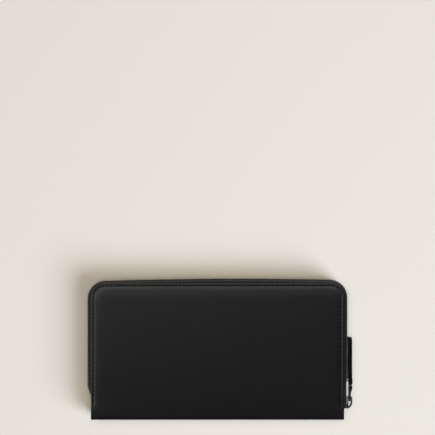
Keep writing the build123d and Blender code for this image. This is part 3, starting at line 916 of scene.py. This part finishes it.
def card_leather(cover, node, name, crease=True):
    """Leather of the card pockets, with a line creased along its top edge."""
    low, high = box_mm(node)
    outwards = 1 if cover == "back" else -1
    outside = high.z if cover == "back" else low.z
    lines = [high.y - d for d in (0.7, 1.1, 1.35, 1.6, 1.85, 2.1, 2.5, 4.0, 7.0)]
    cuts = ((1, lines), (0, spaced(low.x + 1.2, high.x - 1.2, 8.0)))

    def creased(p):
        if abs(p.z - outside) < 0.2 and crease:
            p.z -= outwards * 0.13 * math.exp(-(((high.y - p.y - 1.6) / 0.28) ** 2))
        return p

    piece = refined(node, name, 0.14, 3, cuts, creased)
    dress(piece, f"{cover}_cover", INNER_LEATHER, "inner_leather", node)


def card_stitches(cover):
    """Stitches down the middle of the card pockets and along both their sides."""
    sign = 1 if cover == "back" else -1
    tops = []
    for tier in (1, 2, 3, 4):
        low, high = box_mm(f"{cover}_card_pocket_{tier}")
        tops.append((high.y, high.z if cover == "back" else low.z))
    bottom = box_mm(f"{cover}_card_pocket_1")[0].y
    side = box_mm(f"{cover}_card_pocket_1")[1].x
    rows = []
    for x in (-side + 1.3, -0.01, side - 1.3):
        y = bottom + 1.6
        while y < tops[0][0] - 1.0:
            inside = [z for top, z in tops if y < top - 0.4]
            z = max(inside, key=lambda value: value * sign)
            place = Vector((x, y, z - sign * 0.02))
            up = Vector((0, 0, sign))
            rows.append((place, Vector((0, 1, 0)), Vector((1, 0, 0)), up, 1.8, 0.17, 5, 6, 6))
            y += 2.4
    dress(stitch_row(f"{cover}_card_stitches", rows), f"{cover}_cover", THREAD, "thread")


for cover in ("back", "front"):
    card_leather(cover, f"{cover}_card_panel", f"{cover}_card_panel_leather", crease=False)
    for tier in (1, 2, 3, 4):
        node = f"{cover}_card_pocket_{tier}"
        card_leather(cover, node, f"{node}_leather")
    card_stitches(cover)
    cover_lining(cover)

# ---------------------------------------------------------------- coin pocket
wall_low, wall_high = box_mm("back_coin_pocket_wall")
POCKET_HALF = wall_high.x
POCKET_TOP = wall_high.y
POCKET_FLOOR = box_mm("coin_pocket_bottom")[0].y
POCKET_DEEP = MID - wall_low.z
POCKET_CLOTH = 0.8
HEM = 3.4


def pocket_ring(y, half_deep, half_wide):
    """Section of the coin pocket: two long walls and two short ends, as outside points."""
    corner = min(1.6, half_deep)
    ring = []
    for x in spaced(corner - half_wide, half_wide - corner, 4.0):
        ring.append((x, -half_deep))
    ring += [(x, z) for x, z in arc((half_wide - corner, corner - half_deep), corner, -90, 0, 5)[1:]]
    ring += [(x, z) for x, z in arc((half_wide - corner, half_deep - corner), corner, 0, 90, 5)]
    for x in reversed(spaced(corner - half_wide, half_wide - corner, 4.0)[:-1]):
        ring.append((x, half_deep))
    ring += [(x, z) for x, z in arc((corner - half_wide, half_deep - corner), corner, 90, 180, 5)[1:]]
    ring += [(x, z) for x, z in arc((corner - half_wide, corner - half_deep), corner, 180, 270, 5)[:-1]]
    points = []
    for x, z in ring:
        free = 1 - smooth(52, 60, abs(x))
        hem = 0.14 * free * smooth(POCKET_TOP - HEM - 0.3, POCKET_TOP - HEM + 0.2, y)
        sag = 0.1 * wobble(x, y, 23, 5.5) * free * smooth(POCKET_FLOOR, POCKET_FLOOR + 12, y)
        bulge = (hem + sag) * (1 if z > 0 else -1) * smooth(0.6, 0.95, abs(z) / half_deep)
        points.append((x, y, MID + z + bulge))
    return points


def make_pocket():
    """Cloth of the coin pocket, as one bag with a hem round its mouth."""
    round_off = 1.2
    rings = []
    for turn in spaced(0, 90, 15):
        a = math.radians(turn)
        inwards = round_off * (1 - math.sin(a))
        y = POCKET_FLOOR + round_off * (1 - math.cos(a))
        rings.append(pocket_ring(y, POCKET_DEEP - inwards, POCKET_HALF - inwards))
    for y in spaced(POCKET_FLOOR + round_off, POCKET_TOP - HEM - 0.5, 4.0)[1:]:
        rings.append(pocket_ring(y, POCKET_DEEP, POCKET_HALF))
    for y in (POCKET_TOP - HEM - 0.2, POCKET_TOP - HEM, POCKET_TOP - HEM + 0.2, POCKET_TOP - 1.8, POCKET_TOP):
        rings.append(pocket_ring(y, POCKET_DEEP, POCKET_HALF))
    size = len(rings[0])
    points = [p for ring in rings for p in ring]
    faces = tube_faces(len(rings), size, capped=False)
    for number in range(size // 2 - 1):
        opposite = size // 2 * 2 - 1 - number
        faces.append((number, number + 1, opposite - 1, opposite))
    bag = new_piece("coin_pocket_cloth", points, faces)
    thicken(bag, POCKET_CLOTH)
    sharpen(bag, 50)
    dress(
        bag, "coin_pocket", LINING, "lining",
        "back_coin_pocket_wall", "front_coin_pocket_wall", "coin_pocket_bottom",
        "coin_pocket_left_side", "coin_pocket_right_side",
    )

    rows = []
    for sign in (-1, 1):
        x = 2.0 - POCKET_HALF
        while x < POCKET_HALF - 1:
            z = MID + sign * (POCKET_DEEP + 0.14 * (1 - smooth(52, 60, abs(x))))
            place = Vector((x, POCKET_TOP - 1.6, z - sign * 0.05))
            up = Vector((0, 0, sign))
            rows.append((place, Vector((1, 0, 0)), Vector((0, 1, 0)), up, 1.9, 0.16, 4, 6, 6))
            x += 2.6
    dress(stitch_row("coin_pocket_stitches", rows), "coin_pocket", THREAD, "thread")


make_pocket()
for cover in ("back", "front"):
    node = f"{cover}_coin_zip_tape"
    low, high = box_mm(node)
    piece = refined(node, f"{cover}_coin_tape_cloth", 0.1, 2, ((0, spaced(low.x + 1, high.x - 1, 6.0)),))
    dress(piece, "coin_pocket", TAPE, "zip_tape", node)
low, high = box_mm("spine_lining")


def follow_spine(p):
    """The lining lies on the inside of the leather, which turns in towards both folds."""
    p.y += 0.5 * smooth(3.0, 7.5, abs(p.z - MID))
    return p


spine_cuts = ((0, spaced(low.x + 1, high.x - 1, 8.0)), (2, spaced(low.z + 0.8, high.z - 0.8, 1.5)))
spine_cloth = refined("spine_lining", "spine_lining_cloth", 0.1, 2, spine_cuts, follow_spine)
dress(spine_cloth, "coin_pocket", LINING, "lining", "spine_lining")

# ---------------------------------------------------------------- gussets


def make_gusset(cover, hand):
    """Cloth triangle folded in between a cover and the coin pocket, deeper towards its top."""
    node = f"{cover}_{hand}_gusset"
    low, high = box_mm(node)
    sewn_x = high.x if hand == "right" else -low.x
    fold_x = low.x if hand == "right" else -high.x
    bottom, top = low.y, high.y
    near, far = (low.z, high.z) if cover == "back" else (high.z, low.z)
    middle = (near + far) / 2
    inset = 0.22 if far > near else -0.22
    steps = spaced(0, 1, 0.1)
    rows = []
    for y in spaced(bottom, top, 3.0):
        opened = (y - bottom) / (top - bottom)
        depth = max(0.5, (sewn_x - fold_x) * opened)
        row = []
        for share in steps:
            curl = 0.25 * math.sin(math.pi * share) * opened
            z = near + inset + (middle - near - inset) * share**1.6 - curl * inset
            row.append((sewn_x - depth * share, z))
        back_row = [(x, 2 * middle - z) for x, z in reversed(row[:-1])]
        profile = row + back_row
        rows.append([(x if hand == "right" else -x, y, z) for x, z in profile])
    faces = grid_faces(len(rows), len(rows[0]))
    piece = new_piece(f"{node}_cloth", [p for row in rows for p in row], faces)
    thicken(piece, 0.32, 0.0)
    sharpen(piece, 60)
    dress(piece, None, LINING, "lining", node)
    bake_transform(piece)


for cover in ("back", "front"):
    for hand in ("left", "right"):
        make_gusset(cover, hand)

CAD_FINISHES = {
    "lining": LINING,
    "board": BOARD,
    "zip_tape": TAPE,
    "zip_teeth": TEETH,
    "gunmetal": GUNMETAL,
    "thread": THREAD,
    "cover_leather": BLACK_LEATHER,
    "inner_leather": INNER_LEATHER,
}
for part in frame["record"]["subparts"]:
    node = frame["nodes"][part["node"]]
    node.data.materials.clear()
    node.data.materials.append(CAD_FINISHES[part["material_slot"]])


# ---------------------------------------------------------------- floor, light and camera
FLOOR_COLOUR = (0.800, 0.776, 0.727)


def make_floor():
    """Sheet of pale paper, far larger than the view."""
    half = 4.0
    mesh = bpy.data.meshes.new("floor")
    corners = [(-half, -half, 0), (half, -half, 0), (half, half, 0), (-half, half, 0)]
    mesh.from_pydata(corners, [], [(0, 1, 2, 3)])
    floor = bpy.data.objects.new("floor", mesh)
    bpy.context.scene.collection.objects.link(floor)
    n = Nodes("pale_paper")
    n.set(Specular_IOR_Level=0.0)
    dark, light = [c * 0.995 for c in FLOOR_COLOUR], [c * 1.005 for c in FLOOR_COLOUR]
    colour = n.tint(n.noise(3, 2), dark, light)
    roughness = n.ramp(n.noise(40), 0.85, 0.95)
    floor.data.materials.append(n.finish(colour, roughness, n.bump(n.noise(700), 0.02, 0.1)))


def soft_box(name, tilt, turn, distance, wide, high, watts, colour, diffuse, glossy):
    """Area light that faces the wallet, at a tilt from straight up and a turn from +X, in degrees."""
    data = bpy.data.lights.new(name, "AREA")
    data.shape = "RECTANGLE"
    data.size, data.size_y = wide, high
    data.energy = watts
    data.color = colour
    lamp = bpy.data.objects.new(name, data)
    tilt, turn = math.radians(tilt), math.radians(turn)
    aside = math.sin(tilt)
    lamp.location = distance * Vector((aside * math.cos(turn), aside * math.sin(turn), math.cos(tilt)))
    lamp.rotation_euler = (-lamp.location).to_track_quat("-Z", "Y").to_euler()
    lamp.visible_camera = False
    lamp.visible_diffuse = diffuse
    lamp.visible_glossy = glossy
    bpy.context.scene.collection.objects.link(lamp)


# How bright gloss sees the room: a direction, and the light at each cosine towards it.
ROOM = (
    ((-0.25, 0.97, 0), ((-0.13, 0.0), (0.13, 1.0), (0.36, 1.0), (0.6, 0.3))),
    ((-0.7, 0.71, 0), ((0.12, 0.0), (0.3, 1.9), (0.45, 1.9), (0.65, 0.3))),
    ((0, 0, 1), ((0.2, 0.12), (0.5, 0.0))),
)


def make_world():
    """What gloss mirrors: a room that is lighter to the upper left than to the lower right."""
    world = bpy.data.worlds.new("studio")
    bpy.context.scene.world = world
    world.use_nodes = True
    nodes, links = world.node_tree.nodes, world.node_tree.links
    background = nodes["Background"]
    place = nodes.new("ShaderNodeTexCoord").outputs["Generated"]

    def joined(values, operation):
        result = values[0]
        for value in values[1:]:
            node = nodes.new("ShaderNodeMath")
            node.operation = operation
            links.new(result, node.inputs[0])
            links.new(value, node.inputs[1])
            result = node.outputs["Value"]
        return result

    parts = []
    for direction, levels in ROOM:
        toward = nodes.new("ShaderNodeVectorMath")
        toward.operation = "DOT_PRODUCT"
        toward.inputs[1].default_value = direction
        links.new(place, toward.inputs[0])
        steps = []
        for (start, before), (end, after) in zip(levels, levels[1:]):
            step = nodes.new("ShaderNodeMapRange")
            step.inputs["From Min"].default_value, step.inputs["From Max"].default_value = start, end
            step.inputs["To Min"].default_value = 0.0 if steps else before
            step.inputs["To Max"].default_value = after - before if steps else after
            links.new(toward.outputs["Value"], step.inputs["Value"])
            steps.append(step.outputs["Result"])
        parts.append(joined(steps, "ADD"))
    links.new(joined(parts, "MAXIMUM"), background.inputs["Strength"])
    background.inputs["Color"].default_value = (1.0, 0.99, 0.98, 1)
    world.cycles_visibility.diffuse = False


def make_camera():
    """Straight above, over the upper part of a sheet of paper on which the wallet lies low."""
    data = bpy.data.cameras.new("camera")
    data.sensor_width = 36
    data.lens = 92.6
    camera = bpy.data.objects.new("camera", data)
    camera.location = (0, 0.0988, 0.854)
    bpy.context.scene.collection.objects.link(camera)
    bpy.context.scene.camera = camera


make_floor()
make_world()
make_camera()
soft_box("key", 47, -34, 3.5, 2.0, 2.6, 111, (0.92, 1.0, 1.10), True, False)
soft_box("top", 7, 110, 2.5, 1.45, 1.45, 32, (1.12, 1.0, 0.84), True, False)
soft_box("key_gloss", 47, -38, 3.5, 1.2, 1.2, 0.8, (1.0, 1.0, 1.0), False, True)
soft_box("slider_gloss", 15.3, -41.1, 1.105, 0.055, 0.055, 0.0085, (1.0, 1.0, 1.0), False, True)
bpy.context.scene.view_settings.view_transform = "Standard"
